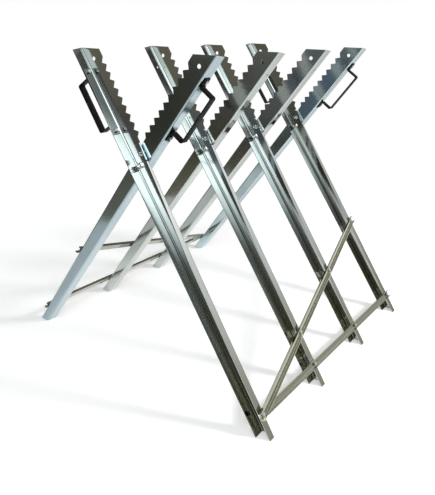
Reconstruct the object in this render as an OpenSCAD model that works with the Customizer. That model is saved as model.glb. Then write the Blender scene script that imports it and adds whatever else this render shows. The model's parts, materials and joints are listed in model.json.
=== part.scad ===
// Folding log saw stand: four X-shaped frames of toothed sheet-steel legs in a row.
// The first legs lean to -X at the top, the second legs to +X, and all four frames
// turn about one line of pivot bolts along Y. The origin is on the floor, in the middle.

/* [Stand] */
// Height of the open stand, floor to leg tops
stand_h = 800; // [700:5:900]
// Distance between neighbouring frames
frame_pitch = 260; // [200:5:320]
// Lean of each open leg from the vertical, in degrees
leg_angle = 35.1; // [31:0.1:39]
// Height of the jaws, pivot bolts to leg tops
jaw_h = 229; // [215:1:260]
// Turn of the second legs when folded, in degrees
fold_angle = 60; // [45:1:62]

/* [Leg sheet] */
// Thickness of the leg sheet
sheet_t = 1.5; // [1.2:0.1:2.5]
// Outer radius of the bends in the legs
bend_r = 4.5; // [3:0.1:6]
// Width of the long outer flange
flange_w = 31; // [24:0.5:34]
// Fall of the outer flange's top end towards its free edge
flange_drop = 4; // [2:0.5:14]
// Width of the inner flange along the lower leg
lip_w = 21; // [18:0.5:26]
// Height of the relief cut in the web at the top of the inner flange
bend_relief = 2; // [1:0.5:5]
// Width of the inner flange at its top on the first legs
lip_top_w = 6.5; // [6.5:0.5:12]
// Length over which the inner flange widens from its top
lip_widen = 285; // [150:5:300]
// Web width of the lower leg at the floor
web_foot_w = 26.5; // [24:0.5:36]
// Distance of the pivot from the outer flange's face
pivot_inset = 29.5; // [27:0.5:34]
// Start of the inner flange above the pivot on the first legs
lip_start_a = 20; // [14:0.5:28]
// Room between the stop washer's path and the inner flange of the second legs
lip_room = 7; // [2:0.5:15]

/* [Jaw] */
// Height of the tooth tips above the lower leg's inner edge
jaw_step = 9; // [6:0.5:14]
// Distance of the lowest notch above the pivot
notch_start = 55.8; // [52:0.1:62]
// Least plain length at the top of a jaw, before the first notch
jaw_plain = 62; // [56:0.5:70]
// Distance between neighbouring notches
tooth_pitch = 22.3; // [18:0.1:26]
// Depth of a notch
tooth_depth = 10.5; // [6:0.5:12]
// Width of the flat at a tooth tip
tooth_flat = 1.6; // [0.8:0.1:3]
// Diameter of the hole near the top of the jaw
tip_hole_d = 10; // [6:0.5:14]
// Distance of that hole from the top of the leg
tip_hole_along = 45; // [40:0.5:50]
// Distance of that hole from the outer flange's face
tip_hole_across = 22.5; // [16:0.5:30]

/* [Pivot and stop] */
// Thread diameter of the pivot and stop bolts
pivot_d = 8; // [6:1:10]
// Width across flats of their heads and nuts
pivot_af = 13; // [12:0.5:14]
// Height of their heads
pivot_head = 5.3; // [4:0.1:7]
// Height of their nuts
pivot_nut = 6.5; // [5:0.1:9]
// Room between the pivot nut and the bend of the inner flange
nut_room = 0.5; // [0.3:0.1:3]
// Gap between the two webs of a frame
web_gap = 2; // [1.6:0.1:3]
// Outer diameter of the washers on the pivot bolts
pivot_washer_od = 16; // [14:0.5:20]
// Outer diameter of the washers on the stop bolts
stop_washer_od = 14; // [13:0.5:16]
// Room between a stop washer and the bend of the outer flange
stop_room = 0.75; // [0.3:0.05:3]
// Thickness of the washers behind the second legs
pivot_washer_t = 1.6; // [1:0.1:2.5]
// Spare thread past the nuts of the pivot and stop bolts
pivot_tail = 3; // [1:0.5:8]

/* [Braces] */
// Width of a brace's base
brace_w = 18; // [16:0.5:24]
// Height of a brace's two side walls
brace_wall = 9; // [6:0.5:14]
// Thickness of the brace sheet
brace_t = 1.5; // [1:0.1:2.5]
// Outer radius of the bends in a brace
brace_r = 2.6; // [2.6:0.1:4]
// Distance of the low braces from the foot, along the leg
brace_foot = 39; // [25:0.5:80]
// Rise of a diagonal brace from its first bolt to its last, along the leg
brace_rise = 256; // [150:1:320]
// Length of a brace past its end bolts
brace_end = 12; // [9:0.5:20]
// Room between the brace nuts and the bend of the inner flange
brace_room = 1; // [0.3:0.1:2]

/* [Handles] */
// Width of the handle strap
handle_w = 20; // [14:0.5:20]
// Thickness of the handle strap
handle_t = 2.5; // [2:0.1:4]
// Length of a grip over its two arms
grip_len = 130; // [110:1:150]
// Distance of the grip's outer face from the flange
grip_out = 38; // [34:0.5:60]
// Outer radius of the two corners of the grip
grip_r = 5; // [4.5:0.1:10]
// Inner radius of the bends between arms and tabs
tab_r = 2; // [1:0.1:3]
// Distance of a handle's bolts from its arms
tab_bolt = 14; // [10:0.5:20]
// Length of a handle tab past its bolt
tab_end = 9; // [8:0.5:14]
// Distance of a handle's middle from the top of the leg
handle_along = 147; // [135:1:160]
// Thickness of the backing strip inside the flange
backing_t = 2; // [1:0.1:3]

/* [Fasteners] */
// Thread diameter of the brace and handle bolts
small_d = 6; // [5:1:6]
// Width across flats of their heads and nuts
small_af = 10; // [9:0.5:10.5]
// Height of their heads
small_head = 4; // [3:0.1:5]
// Height of their nuts
small_nut = 5; // [4:0.1:6.5]
// Diameter of the spacer washers under the diagonal braces
spacer_od = 12; // [11:0.5:14]
// Spare thread past the nuts of the brace and handle bolts
small_tail = 2; // [1:0.5:5]
// Radial clearance of a bolt in its hole
hole_gap = 0.1; // [0.05:0.01:0.3]
// Radial clearance of a bolt in its nut
thread_gap = 0.05; // [0.02:0.01:0.1]
// Clearance between parts that move past each other
run_gap = 0.3; // [0.2:0.05:0.5]

/* [Hidden] */

$fn = 48;
frame_count = 4;
first = 1;
last = frame_count;
end_frames = [first, last];
all_frames = [first : last];

steel = "lightgray";
bright = "gainsboro";
black = [0.08, 0.08, 0.08];

// The web is as wide at the pivot as the pivot nut needs, and the jaw a step wider
web_top_w = pivot_inset + pivot_af / 2 + nut_room + bend_r;
jaw_w = web_top_w + jaw_step;

// Places along Y and along a leg, measured down from the pivot
function frame_y(i) = (i - (first + last) / 2) * frame_pitch;
pivot_h = stand_h - jaw_h;
leg_sin = sin(leg_angle);
leg_cos = cos(leg_angle);
top_u = -(jaw_h + pivot_inset * leg_sin) / leg_cos;
foot_u = (pivot_h - pivot_inset * leg_sin) / leg_cos;
spare_u = flange_w + jaw_w;
high_z = -top_u + spare_u;
low_z = -foot_u - spare_u;
cut_reach = 2 * (stand_h + frame_pitch);

// Across the leg, measured from the pivot towards the jaw
jaw_x = jaw_w - pivot_inset;
inner_x = web_top_w - pivot_inset;
taper = atan((web_top_w - web_foot_w) / foot_u);
function inner_at(z) = inner_x + tan(taper) * z;
lap = 2 * sheet_t;
web_edge = bend_r + lap / 2;
web_edge_run = web_edge / cos(taper);

// Notches fill the jaw from the lowest one up, and the last tooth runs out to the
// inner edge at the slope of its own flank
notch_count = floor((-top_u - jaw_plain - notch_start) / tooth_pitch) + 1;
function notch_z(k) = notch_start + (notch_count - 1 - k) * tooth_pitch;
flank_z = (tooth_pitch - tooth_flat) / 2;
last_tip_z = notch_start - flank_z;
runout = (jaw_x - inner_at(last_tip_z)) * flank_z / tooth_depth;
runout_z = last_tip_z - tooth_flat - runout;

// The stop bolt lies straight below the pivot, as far down as the bend of the outer
// flange lets its washer go, and runs in a slot on the second legs
stop_reach = pivot_inset - bend_r - stop_washer_od / 2 - stop_room;
stop_drop = stop_reach / leg_sin;
lip_start_b = stop_drop + stop_washer_od / 2 + lip_room;
stop_x = -stop_reach;
stop_z = -stop_drop * leg_cos;
slot_r = pivot_d / 2 + run_gap;
slot_end = asin(slot_r / stop_drop);
slot_sweep = fold_angle + 2 * slot_end;

// Stack of the pivot and stop bolts along Y, measured from the middle of a frame
spacer_t = web_gap - run_gap;
web_front = web_gap / 2 + sheet_t;
washer_y = web_front + run_gap;
head_y = washer_y + pivot_washer_t;
frame_reach = head_y + web_front + pivot_nut + pivot_tail;

// The diagonal brace lies on the end of the low brace, and on spacers elsewhere
brace_low = foot_u - brace_foot;
brace_bolt_y = bend_r + small_af / 2 + brace_room;
brace_run = (last - first) * frame_pitch;
brace_slope = atan(brace_rise / brace_run);
diagonal_len = brace_run / cos(brace_slope);
half_w = brace_w / 2;
tilted_half = half_w / cos(brace_slope);
upper_wall_from = (half_w + tilted_half + brace_t) / tan(brace_slope);
lower_wall_from = (tilted_half - half_w + 2 * brace_t) / tan(brace_slope);
function diagonal_u(i) = brace_low - brace_rise * (i - first) / (last - first);
function brace_y(i) = frame_y(i) - brace_bolt_y;
brace_reach = sheet_t + brace_t + small_nut + small_tail;

// Handle bolts pass the tab, the middle of the flange and the backing strip
handle_y = (bend_r + flange_w) / 2;
handle_z = -top_u - handle_along;
handle_bolts = grip_len + 2 * tab_bolt;
handle_reach = handle_t + sheet_t + backing_t + small_nut + small_tail;
bolt_zs = [handle_z - handle_bolts / 2, handle_z + handle_bolts / 2];
arm_half = grip_len / 2;
tab_half = handle_bolts / 2 + tab_end;

// Shared shapes

module quarter_bend(r, t) {
    intersection() {
        difference() {
            circle(r);
            circle(r - t);
        }
        square(r);
    }
}

// A hexagon with flats towards +X and -X
module hex(af, h) {
    rotate(30)
        cylinder(h = h, d = af / cos(30), $fn = 6);
}

// A bolt along Z: its head stands on 0 and its shank reaches down from there
module bolt(d, af, head, reach) {
    hex(af, head);
    translate([0, 0, -reach])
        cylinder(h = reach, d = d);
}

module nut(d, af, h) {
    difference() {
        hex(af, h);
        translate([0, 0, -h])
            cylinder(h = 3 * h, r = d / 2 + thread_gap);
    }
}

module small_bolt(reach) {
    rotate(90)
        bolt(small_d, small_af, small_head, reach);
}

module small_nut_on() {
    rotate(90)
        nut(small_d, small_af, small_nut);
}

module washer(od, d, t) {
    difference() {
        cylinder(h = t, d = od);
        translate([0, 0, -t])
            cylinder(h = 3 * t, r = d / 2 + hole_gap);
    }
}

// Places

// The upright frame of a first leg, with its web face at the middle of the gap
module leg_frame() {
    translate([0, 0, pivot_h])
        rotate([0, -leg_angle, 0])
            children();
}

// The second legs are the first ones turned half round
module turned() {
    rotate([0, 0, 180])
        children();
}

// The plane of the inner flanges' outer faces, with +X outwards
module lip_plane() {
    translate([inner_x, -web_gap / 2, 0])
        rotate([0, taper, 0])
            children();
}

// Along Y, with the shank towards the front of the frame
module across_frame(i, z) {
    translate([0, frame_y(i), z])
        rotate([-90, 0, 0])
            children();
}

// On the outer flange of a leg, with +Z outwards
module on_flange(z, out) {
    translate([-pivot_inset - out, -web_gap / 2 - handle_y, z])
        rotate([0, -90, 0])
            children();
}

// On the plane of the inner flanges at a brace bolt, with +Z outwards
module on_lip(i, u, out) {
    translate([out, brace_y(i), -u])
        rotate([0, 90, 0])
            children();
}

// Legs

module jaw_and_web(lip_from) {
    relief_z = lip_from + bend_relief;
    teeth = [
        for (k = [0 : notch_count - 1])
            for (p = [[jaw_x, flank_z], [jaw_x - tooth_depth, 0], [jaw_x, -flank_z]])
                [p[0], notch_z(k) + p[1]]
    ];
    points = concat(
        [[web_edge - pivot_inset, low_z], [web_edge - pivot_inset, high_z], [jaw_x, high_z]],
        teeth,
        [
            [jaw_x, last_tip_z - tooth_flat],
            [inner_at(runout_z), runout_z],
            [inner_at(relief_z), relief_z],
            [inner_at(relief_z) - web_edge_run, relief_z],
            [inner_at(low_z) - web_edge_run, low_z],
        ]
    );
    rotate([90, 0, 0])
        linear_extrude(sheet_t)
            polygon(points);
}

module outer_flange() {
    translate([-pivot_inset, 0, low_z])
        linear_extrude(high_z - low_z) {
            translate([0, -flange_w])
                square([sheet_t, flange_w - bend_r]);
            translate([bend_r, -bend_r])
                mirror([1, 0])
                    quarter_bend(bend_r, sheet_t);
            translate([bend_r, -sheet_t])
                square([lap, sheet_t]);
        }
}

module inner_flange(lip_from) {
    run = (lip_from - low_z) / cos(taper);
    widest = run + (lip_start_a - lip_from) / cos(taper) - lip_widen;
    translate([inner_x, 0, 0])
        rotate([0, taper, 0])
            translate([0, 0, lip_from - run])
                difference() {
                    linear_extrude(run) {
                        translate([-sheet_t, -lip_w])
                            square([sheet_t, lip_w - bend_r]);
                        translate([-bend_r, -bend_r])
                            quarter_bend(bend_r, sheet_t);
                        translate([-bend_r - lap, -sheet_t])
                            square([lap, sheet_t]);
                    }
                    translate([0, -lip_w, widest])
                        rotate([-atan((lip_w - lip_top_w) / lip_widen), 0, 0])
                            translate([-2 * sheet_t, -lip_w, -lip_widen / 8])
                                cube([4 * sheet_t, lip_w, 2 * lip_widen]);
                }
}

module web_hole(x, z, d) {
    translate([x, 0, z])
        rotate([90, 0, 0])
            cylinder(h = 4 * sheet_t, d = d, center = true);
}

// The arc that the stop bolt draws on a second leg while it folds
module stop_slot() {
    rotate([90, 0, 0])
        translate([0, 0, -2 * sheet_t])
            rotate(-90 - leg_angle - slot_end)
                rotate_extrude(angle = slot_sweep)
                    translate([stop_drop - slot_r, 0])
                        square([2 * slot_r, 4 * sheet_t]);
}

module flange_holes() {
    for (z = bolt_zs)
        translate([-pivot_inset, -handle_y, z])
            rotate([0, 90, 0])
                cylinder(h = 4 * sheet_t, r = small_d / 2 + hole_gap, center = true);
}

module lip_holes(us) {
    for (u = us)
        translate([inner_x, 0, 0])
            rotate([0, taper, 0])
                translate([0, -brace_bolt_y, -u])
                    rotate([0, 90, 0])
                        cylinder(h = 4 * sheet_t, r = small_d / 2 + hole_gap, center = true);
}

// A whole leg leaning in its frame, cut level at the floor and sloping at the top
module leg(i, lip_from, slotted) {
    us = i == first ? [brace_low] : [brace_low, diagonal_u(i)];
    difference() {
        leg_frame()
            translate([0, -web_gap / 2, 0])
                difference() {
                    union() {
                        jaw_and_web(lip_from);
                        outer_flange();
                        inner_flange(lip_from);
                    }
                    web_hole(0, 0, pivot_d + 2 * hole_gap);
                    web_hole(
                        tip_hole_across - pivot_inset,
                        -top_u - tip_hole_along,
                        tip_hole_d
                    );
                    if (slotted)
                        stop_slot();
                    else
                        web_hole(stop_x, stop_z, pivot_d + 2 * hole_gap);
                    flange_holes();
                    lip_holes(us);
                }
        translate([-cut_reach / 2, -cut_reach / 2, -cut_reach])
            cube(cut_reach);
        translate([-cut_reach / 2, -web_gap / 2, stand_h])
            rotate([atan(flange_drop / flange_w), 0, 0])
                translate([0, -cut_reach / 2, 0])
                    cube(cut_reach);
    }
}

module leg_a(i) {
    color(steel)
        translate([0, frame_y(i), 0])
            leg(i, lip_start_a, false);
}

// Turned half round, so the frames count from the other end
module leg_b(i) {
    color(steel)
        turned()
            translate([0, frame_y(last + first - i), 0])
                leg(last + first - i, -lip_start_b, true);
}

// Braces

module brace_section() {
    for (side = [1, -1])
        scale([1, side]) {
            square([brace_t, half_w - brace_r]);
            translate([brace_r, half_w - brace_r])
                mirror([1, 0])
                    quarter_bend(brace_r, brace_t);
            translate([brace_r, half_w - brace_t])
                square([brace_wall - brace_r, brace_t]);
        }
}

// A brace along Y from its first bolt, with its walls outwards
module brace_bar(len) {
    translate([0, -brace_end, 0])
        rotate([-90, 0, 0])
            linear_extrude(len + 2 * brace_end)
                brace_section();
}

module brace_hole(y) {
    translate([0, y, 0])
        rotate([0, 90, 0])
            cylinder(h = 4 * brace_t, r = small_d / 2 + hole_gap, center = true);
}

// Clears a wall of the low brace, up to where the diagonal has left it
module wall_clearance(from, side) {
    translate([brace_t, -2 * brace_end, side > 0 ? 0 : -brace_w])
        cube([2 * brace_wall, from + 2 * brace_end, brace_w]);
}

module low_brace() {
    leg_frame()
        lip_plane()
            translate([0, brace_y(first), -brace_low])
                difference() {
                    brace_bar(brace_run);
                    for (i = all_frames)
                        brace_hole(frame_y(i) - frame_y(first));
                    wall_clearance(upper_wall_from, 1);
                    wall_clearance(lower_wall_from, -1);
                }
}

module diagonal_brace() {
    leg_frame()
        lip_plane()
            translate([brace_t, brace_y(first), -brace_low])
                rotate([brace_slope, 0, 0])
                    difference() {
                        brace_bar(diagonal_len);
                        for (i = all_frames)
                            brace_hole(diagonal_len * (i - first) / (last - first));
                    }
}

module low_brace_a() {
    color(steel)
        low_brace();
}

module diagonal_brace_a() {
    color(steel)
        diagonal_brace();
}

module low_brace_b() {
    color(steel)
        turned()
            low_brace();
}

module diagonal_brace_b() {
    color(steel)
        turned()
            diagonal_brace();
}

// Handles

// Half of the bent strap, from the middle of the grip to the end of a tab
module half_strap() {
    translate([0, grip_out - handle_t])
        square([arm_half - grip_r, handle_t]);
    translate([arm_half - grip_r, grip_out - grip_r])
        quarter_bend(grip_r, handle_t);
    translate([arm_half - handle_t, handle_t + tab_r])
        square([handle_t, grip_out - grip_r - handle_t - tab_r]);
    translate([arm_half + tab_r, handle_t + tab_r])
        rotate(180)
            quarter_bend(tab_r + handle_t, handle_t);
    translate([arm_half + tab_r, 0])
        square([tab_half - arm_half - tab_r, handle_t]);
}

module handle_on(i) {
    translate([0, frame_y(i), 0])
        leg_frame()
            difference() {
                on_flange(handle_z, 0)
                    translate([0, handle_w / 2, 0])
                        rotate([90, 0, 0])
                            linear_extrude(handle_w)
                                for (side = [1, -1])
                                    scale([side, 1])
                                        half_strap();
                for (z = bolt_zs)
                    on_flange(z, -handle_t)
                        cylinder(h = 3 * handle_t, r = small_d / 2 + hole_gap);
            }
}

module backing_on(i) {
    translate([0, frame_y(i), 0])
        leg_frame()
            difference() {
                on_flange(handle_z, -sheet_t)
                    translate([-tab_half, -handle_w / 2, -backing_t])
                        cube([2 * tab_half, handle_w, backing_t]);
                for (z = bolt_zs)
                    on_flange(z, -sheet_t - 2 * backing_t)
                        cylinder(h = 3 * backing_t, r = small_d / 2 + hole_gap);
            }
}

module handle_a(i) {
    color(black)
        handle_on(i);
}

module handle_b(i) {
    color(black)
        turned()
            handle_on(last + first - i);
}

module backing_a(i) {
    color(steel)
        backing_on(i);
}

module backing_b(i) {
    color(steel)
        turned()
            backing_on(last + first - i);
}

// Pivot and stop fasteners: heads behind the second legs, nuts in front of the first

module frame_bolts(z) {
    for (i = all_frames)
        across_frame(i, z)
            translate([0, 0, head_y])
                bolt(pivot_d, pivot_af, pivot_head, frame_reach);
}

module frame_nuts(x, z) {
    for (i = all_frames)
        translate([0, frame_y(i), 0])
            leg_frame()
                translate([x, -web_front, z])
                    rotate([90, 0, 0])
                        nut(pivot_d, pivot_af, pivot_nut);
}

module frame_spacers(z, od) {
    for (i = all_frames)
        across_frame(i, z)
            translate([0, 0, -web_gap / 2])
                washer(od, pivot_d, spacer_t);
}

module frame_washers(z, od) {
    for (i = all_frames)
        across_frame(i, z)
            translate([0, 0, washer_y])
                washer(od, pivot_d, pivot_washer_t);
}

module pivot_bolts() {
    color(bright)
        frame_bolts(pivot_h);
}

module pivot_nuts() {
    color(bright)
        frame_nuts(0, 0);
}

module pivot_spacers() {
    color(bright)
        frame_spacers(pivot_h, pivot_washer_od);
}

module pivot_washers() {
    color(bright)
        frame_washers(pivot_h, pivot_washer_od);
}

module stop_bolts() {
    color(bright)
        frame_bolts(pivot_h - stop_drop);
}

module stop_nuts() {
    color(bright)
        frame_nuts(stop_x, stop_z);
}

module stop_spacers() {
    color(bright)
        frame_spacers(pivot_h - stop_drop, stop_washer_od);
}

module stop_washers() {
    color(bright)
        frame_washers(pivot_h - stop_drop, stop_washer_od);
}

// Brace fasteners: heads inside the braces, nuts inside the legs

module brace_bolts() {
    leg_frame()
        lip_plane() {
            for (i = all_frames)
                on_lip(i, diagonal_u(i), 2 * brace_t)
                    small_bolt(brace_reach + brace_t);
            for (i = [first + 1 : last])
                on_lip(i, brace_low, brace_t)
                    small_bolt(brace_reach);
        }
}

module brace_nuts() {
    leg_frame()
        lip_plane() {
            for (i = all_frames)
                on_lip(i, diagonal_u(i), -sheet_t - small_nut)
                    small_nut_on();
            for (i = [first + 1 : last])
                on_lip(i, brace_low, -sheet_t - small_nut)
                    small_nut_on();
        }
}

module brace_spacers() {
    leg_frame()
        lip_plane()
            for (i = [first + 1 : last])
                on_lip(i, diagonal_u(i), 0)
                    washer(spacer_od, small_d, brace_t);
}

module brace_bolts_a() {
    color(bright)
        brace_bolts();
}

module brace_nuts_a() {
    color(bright)
        brace_nuts();
}

module brace_spacers_a() {
    color(bright)
        brace_spacers();
}

module brace_bolts_b() {
    color(bright)
        turned()
            brace_bolts();
}

module brace_nuts_b() {
    color(bright)
        turned()
            brace_nuts();
}

module brace_spacers_b() {
    color(bright)
        turned()
            brace_spacers();
}

// Handle fasteners: heads on the tabs, nuts on the backing strips

module handle_bolt_set() {
    for (i = end_frames)
        translate([0, frame_y(i), 0])
            leg_frame()
                for (z = bolt_zs)
                    on_flange(z, handle_t)
                        small_bolt(handle_reach);
}

module handle_nut_set() {
    for (i = end_frames)
        translate([0, frame_y(i), 0])
            leg_frame()
                for (z = bolt_zs)
                    on_flange(z, -sheet_t - backing_t - small_nut)
                        small_nut_on();
}

module handle_bolts_a() {
    color(bright)
        handle_bolt_set();
}

module handle_nuts_a() {
    color(bright)
        handle_nut_set();
}

module handle_bolts_b() {
    color(bright)
        turned()
            handle_bolt_set();
}

module handle_nuts_b() {
    color(bright)
        turned()
            handle_nut_set();
}

leg_a(1);  // leg_a1
leg_a(2);  // leg_a2
leg_a(3);  // leg_a3
leg_a(4);  // leg_a4
leg_b(1);  // leg_b1
leg_b(2);  // leg_b2
leg_b(3);  // leg_b3
leg_b(4);  // leg_b4
low_brace_a();
diagonal_brace_a();
low_brace_b();
diagonal_brace_b();
handle_a(1);  // handle_a1
handle_a(4);  // handle_a4
handle_b(1);  // handle_b1
handle_b(4);  // handle_b4
backing_a(1);  // backing_a1
backing_a(4);  // backing_a4
backing_b(1);  // backing_b1
backing_b(4);  // backing_b4
pivot_bolts();
pivot_nuts();
pivot_spacers();
pivot_washers();
stop_bolts();
stop_nuts();
stop_spacers();
stop_washers();
brace_bolts_a();
brace_nuts_a();
brace_spacers_a();
brace_bolts_b();
brace_nuts_b();
brace_spacers_b();
handle_bolts_a();
handle_nuts_a();
handle_bolts_b();
handle_nuts_b();
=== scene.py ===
"""Log saw stand: sheet-steel finishes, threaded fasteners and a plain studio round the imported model."""
import json
import math

import bmesh
import bpy
from bpy.props import FloatProperty, FloatVectorProperty, IntProperty, PointerProperty
from mathutils import Euler, Matrix, Vector

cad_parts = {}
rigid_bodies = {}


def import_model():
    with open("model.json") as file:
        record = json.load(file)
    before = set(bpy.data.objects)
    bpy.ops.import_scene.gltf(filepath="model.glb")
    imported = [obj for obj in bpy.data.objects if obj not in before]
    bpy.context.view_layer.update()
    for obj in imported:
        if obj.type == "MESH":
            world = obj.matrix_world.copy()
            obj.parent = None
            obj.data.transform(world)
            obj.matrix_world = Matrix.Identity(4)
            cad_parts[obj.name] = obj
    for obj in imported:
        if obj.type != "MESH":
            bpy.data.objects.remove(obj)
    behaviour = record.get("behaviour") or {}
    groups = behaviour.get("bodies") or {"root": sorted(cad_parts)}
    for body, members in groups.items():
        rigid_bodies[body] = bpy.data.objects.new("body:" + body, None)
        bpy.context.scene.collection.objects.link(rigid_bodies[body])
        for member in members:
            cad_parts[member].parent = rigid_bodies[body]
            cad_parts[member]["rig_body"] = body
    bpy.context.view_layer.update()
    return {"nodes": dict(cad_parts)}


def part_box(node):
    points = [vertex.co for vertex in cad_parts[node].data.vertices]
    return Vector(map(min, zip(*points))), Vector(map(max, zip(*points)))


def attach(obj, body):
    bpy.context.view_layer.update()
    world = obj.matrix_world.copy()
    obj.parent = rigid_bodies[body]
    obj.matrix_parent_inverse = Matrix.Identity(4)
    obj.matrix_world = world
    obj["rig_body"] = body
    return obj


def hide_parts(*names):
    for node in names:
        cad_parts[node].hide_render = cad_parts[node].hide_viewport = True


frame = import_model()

bl_info = {
    "name": "Log Saw Stand",
    "version": (1, 0, 0),
    "blender": (4, 5, 0),
    "location": "3D View > Sidebar > Saw Stand",
    "description": "Dresses a folding log saw stand with galvanised steel, black grips and zinc fasteners",
    "category": "Object",
}

NODES = frame["nodes"]

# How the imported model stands, in metres and radians.
PIVOT_HEIGHT = 0.571
LEG_LEAN = math.radians(35.1)
BRACE_CLIMB = 0.256
BRACE_RUN = 0.78
BRACE_RISE = math.atan2(BRACE_CLIMB, BRACE_RUN)

# Each leg's zinc is tinted a little bluer, greyer, lighter or darker than the next one's: partly the
# plating's own tone, partly painted reflection and shade.
PLATING_AND_REFLECTION_TINTS = {
    "leg_a1": (0.97, 1.0, 1.0),
    "leg_a2": (0.97, 1.0, 1.0),
    "leg_a3": (0.93, 0.96, 0.96),
    "leg_a4": (0.80, 0.82, 0.80),
    "leg_b1": (0.84, 0.99, 1.08),
    "leg_b2": (1.02, 1.06, 1.04),
    "leg_b3": (1.04, 1.08, 1.08),
    "leg_b4": (1.02, 1.18, 1.27),
}

# How bright the zinc of each brace is painted, as painted light and shade on one zinc finish, and the angle
# at which it rises along the stand.
BRACE_PAINTED_LIGHT_AND_RISE = {
    "low_brace_a": (0.50, 0),
    "low_brace_b": (0.50, 0),
    "diagonal_brace_a": (1.0, BRACE_RISE),
    "diagonal_brace_b": (0.42, -BRACE_RISE),
}

# Zones of a first leg stood upright, in metres: across from the pivot, out of the web, and along the leg.
FLANGE_ACROSS = (-0.020, -0.010)
TURNED_WEB_ACROSS = (-0.025, -0.005)
LEANING_WEB_ACROSS = (-0.005, 0.1)
CREASE_START_ACROSS = (-0.0285, -0.0265)
CREASE_END_ACROSS = (-0.0250, -0.0225)
FLANGE_OUT = (-0.036, -0.0045)
HANDLE_ALONG = (0.08, 0.24)
CREASE_TOP_ALONG = (0.06, 0.09)
FOOT_ALONG = (-0.60, -0.38)

# The sheet's pattern: how long for their width streaks and brush marks are, how much finer the marks are,
# and what streaks, clouds and crystals add to the tone and to the roughness.
STREAK_STRETCH = 40
MARK_STRETCH = 60
MARK_FINENESS = 6
BASE_TONE = -0.03
STREAK_TONE = 0.55
CLOUD_TONE = 0.45
SPANGLE_TONE = 0.05
CLOUD_ROUGHNESS = 0.9
SPANGLE_ROUGHNESS = 0.06
PATTERN_SPAN = (0.3, 0.75)
QUARTER_TURN = 0.25

# Fasteners: lengths in metres, the chamfer in radians, the rest as shares or multiples.
HEX_FACE_SHARE = 0.95
HEX_CHAMFER = math.radians(30)
THREAD_DEPTH_PITCHES = 0.54
THREAD_TURNS = 8
THREAD_SHANK_SHARE = 0.6
THREAD_STEPS_PER_TURN = 6
THREAD_PLAY = 0.00003
LEAD_IN_PITCHES = 0.5
LEAD_IN_START = 0.4
TAIL_DEPTHS = 1.1
DISH_SHARE = 0.8
DISH_DEPTH = 0.0001
NUT_PLAY = 0.00002
COUNTERSINK = 0.0005
BROKEN_EDGE = 0.0003
BROKEN_EDGE_SHARE = 0.2

# Welding and shading of meshes.
WELD = 1e-6
FLAT_ANGLE = math.radians(0.5)
SHARP_ANGLE = math.radians(40)
FASTENER_SMOOTH = math.radians(32)
HANDLE_SMOOTH = math.radians(50)

# Directions from a bolt's tail to its head, by where the bolt sits.
ACROSS_FRAMES = Vector((0, 1, 0))
OUT_OF_BRACE = {"a": Vector((0.8303, 0, 0.5574)), "b": Vector((-0.8303, 0, 0.5574))}
OUT_OF_HANDLE = {"a": Vector((-0.8181, 0, -0.5750)), "b": Vector((0.8181, 0, -0.5750))}

# Floor: distances from its middle in metres, and the light it adds there.
FLOOR_POINTS = 96
FLOOR_ROUGHNESS = 0.9
FLOOR_LIFT_START = 0.75
FLOOR_RIM_LIFT = 0.6
UNDER_STAND = (0.50, 0.75)
UNDER_STAND_GLOW = (0.40, 0.09)

# Camera: place in metres, angles in degrees, lens and sensor in millimetres.
CAMERA_PLACE = Vector((0.8626, -1.3780, 0.8599))
CAMERA_AZIMUTH = 39.605
CAMERA_TILT = 16.638
CAMERA_ROLL = 1.115
CAMERA_LENS = 41.942
CAMERA_SENSOR = 36
CAMERA_SHIFT = (0.1245, -0.1051)

# The room that the metal mirrors: edges of its parts, as spans of the direction's X, Y or Z.
BEHIND_Y = (-0.15, 0.35)
AHEAD_Y = (-0.15, 0.05)
LEFT_WALL_X = (0.15, 0.30)
LOW_WALL_Z = (0.10, 0.25)
CORNER_X = (-0.30, -0.22)
CORNER_FOOT_Z = (-0.20, -0.14)
CORNER_TOP_Z = (0.10, 0.25)
HORIZON_Z = (-0.06, -0.02)
SILL_Z = (0.0, 0.08)
LINTEL_Z = (0.80, 0.86)

# The window: its jamb is set by X with some of Y, and its light grows upwards and towards the jamb.
JAMB_SPAN = (-0.01, 0.06)
JAMB_SKEW = 0.325
PANE_SLANT = -0.7

# Colours of that room.
GROUND_NEAR = (0.55, 0.56, 0.54)
LOW_LEFT_WALL = (0.80, 0.80, 0.79)
HORIZON_GLOW = (0.19, 0.18, 0.14)

# The two ways in which a spread runs, plain colours, and a pattern left as it is.
RISING = (0, 1)
FALLING = (1, 0)
WHITE = (1, 1, 1)
BLACK = (0, 0, 0)
UNTURNED = (0, 0, 0)
WHOLE = (1, 1, 1)

# Sockets of a Mix node that carry colours.
MIX_COLOR_INPUTS = (6, 7)
MIX_COLOR_OUTPUT = 2


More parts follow.
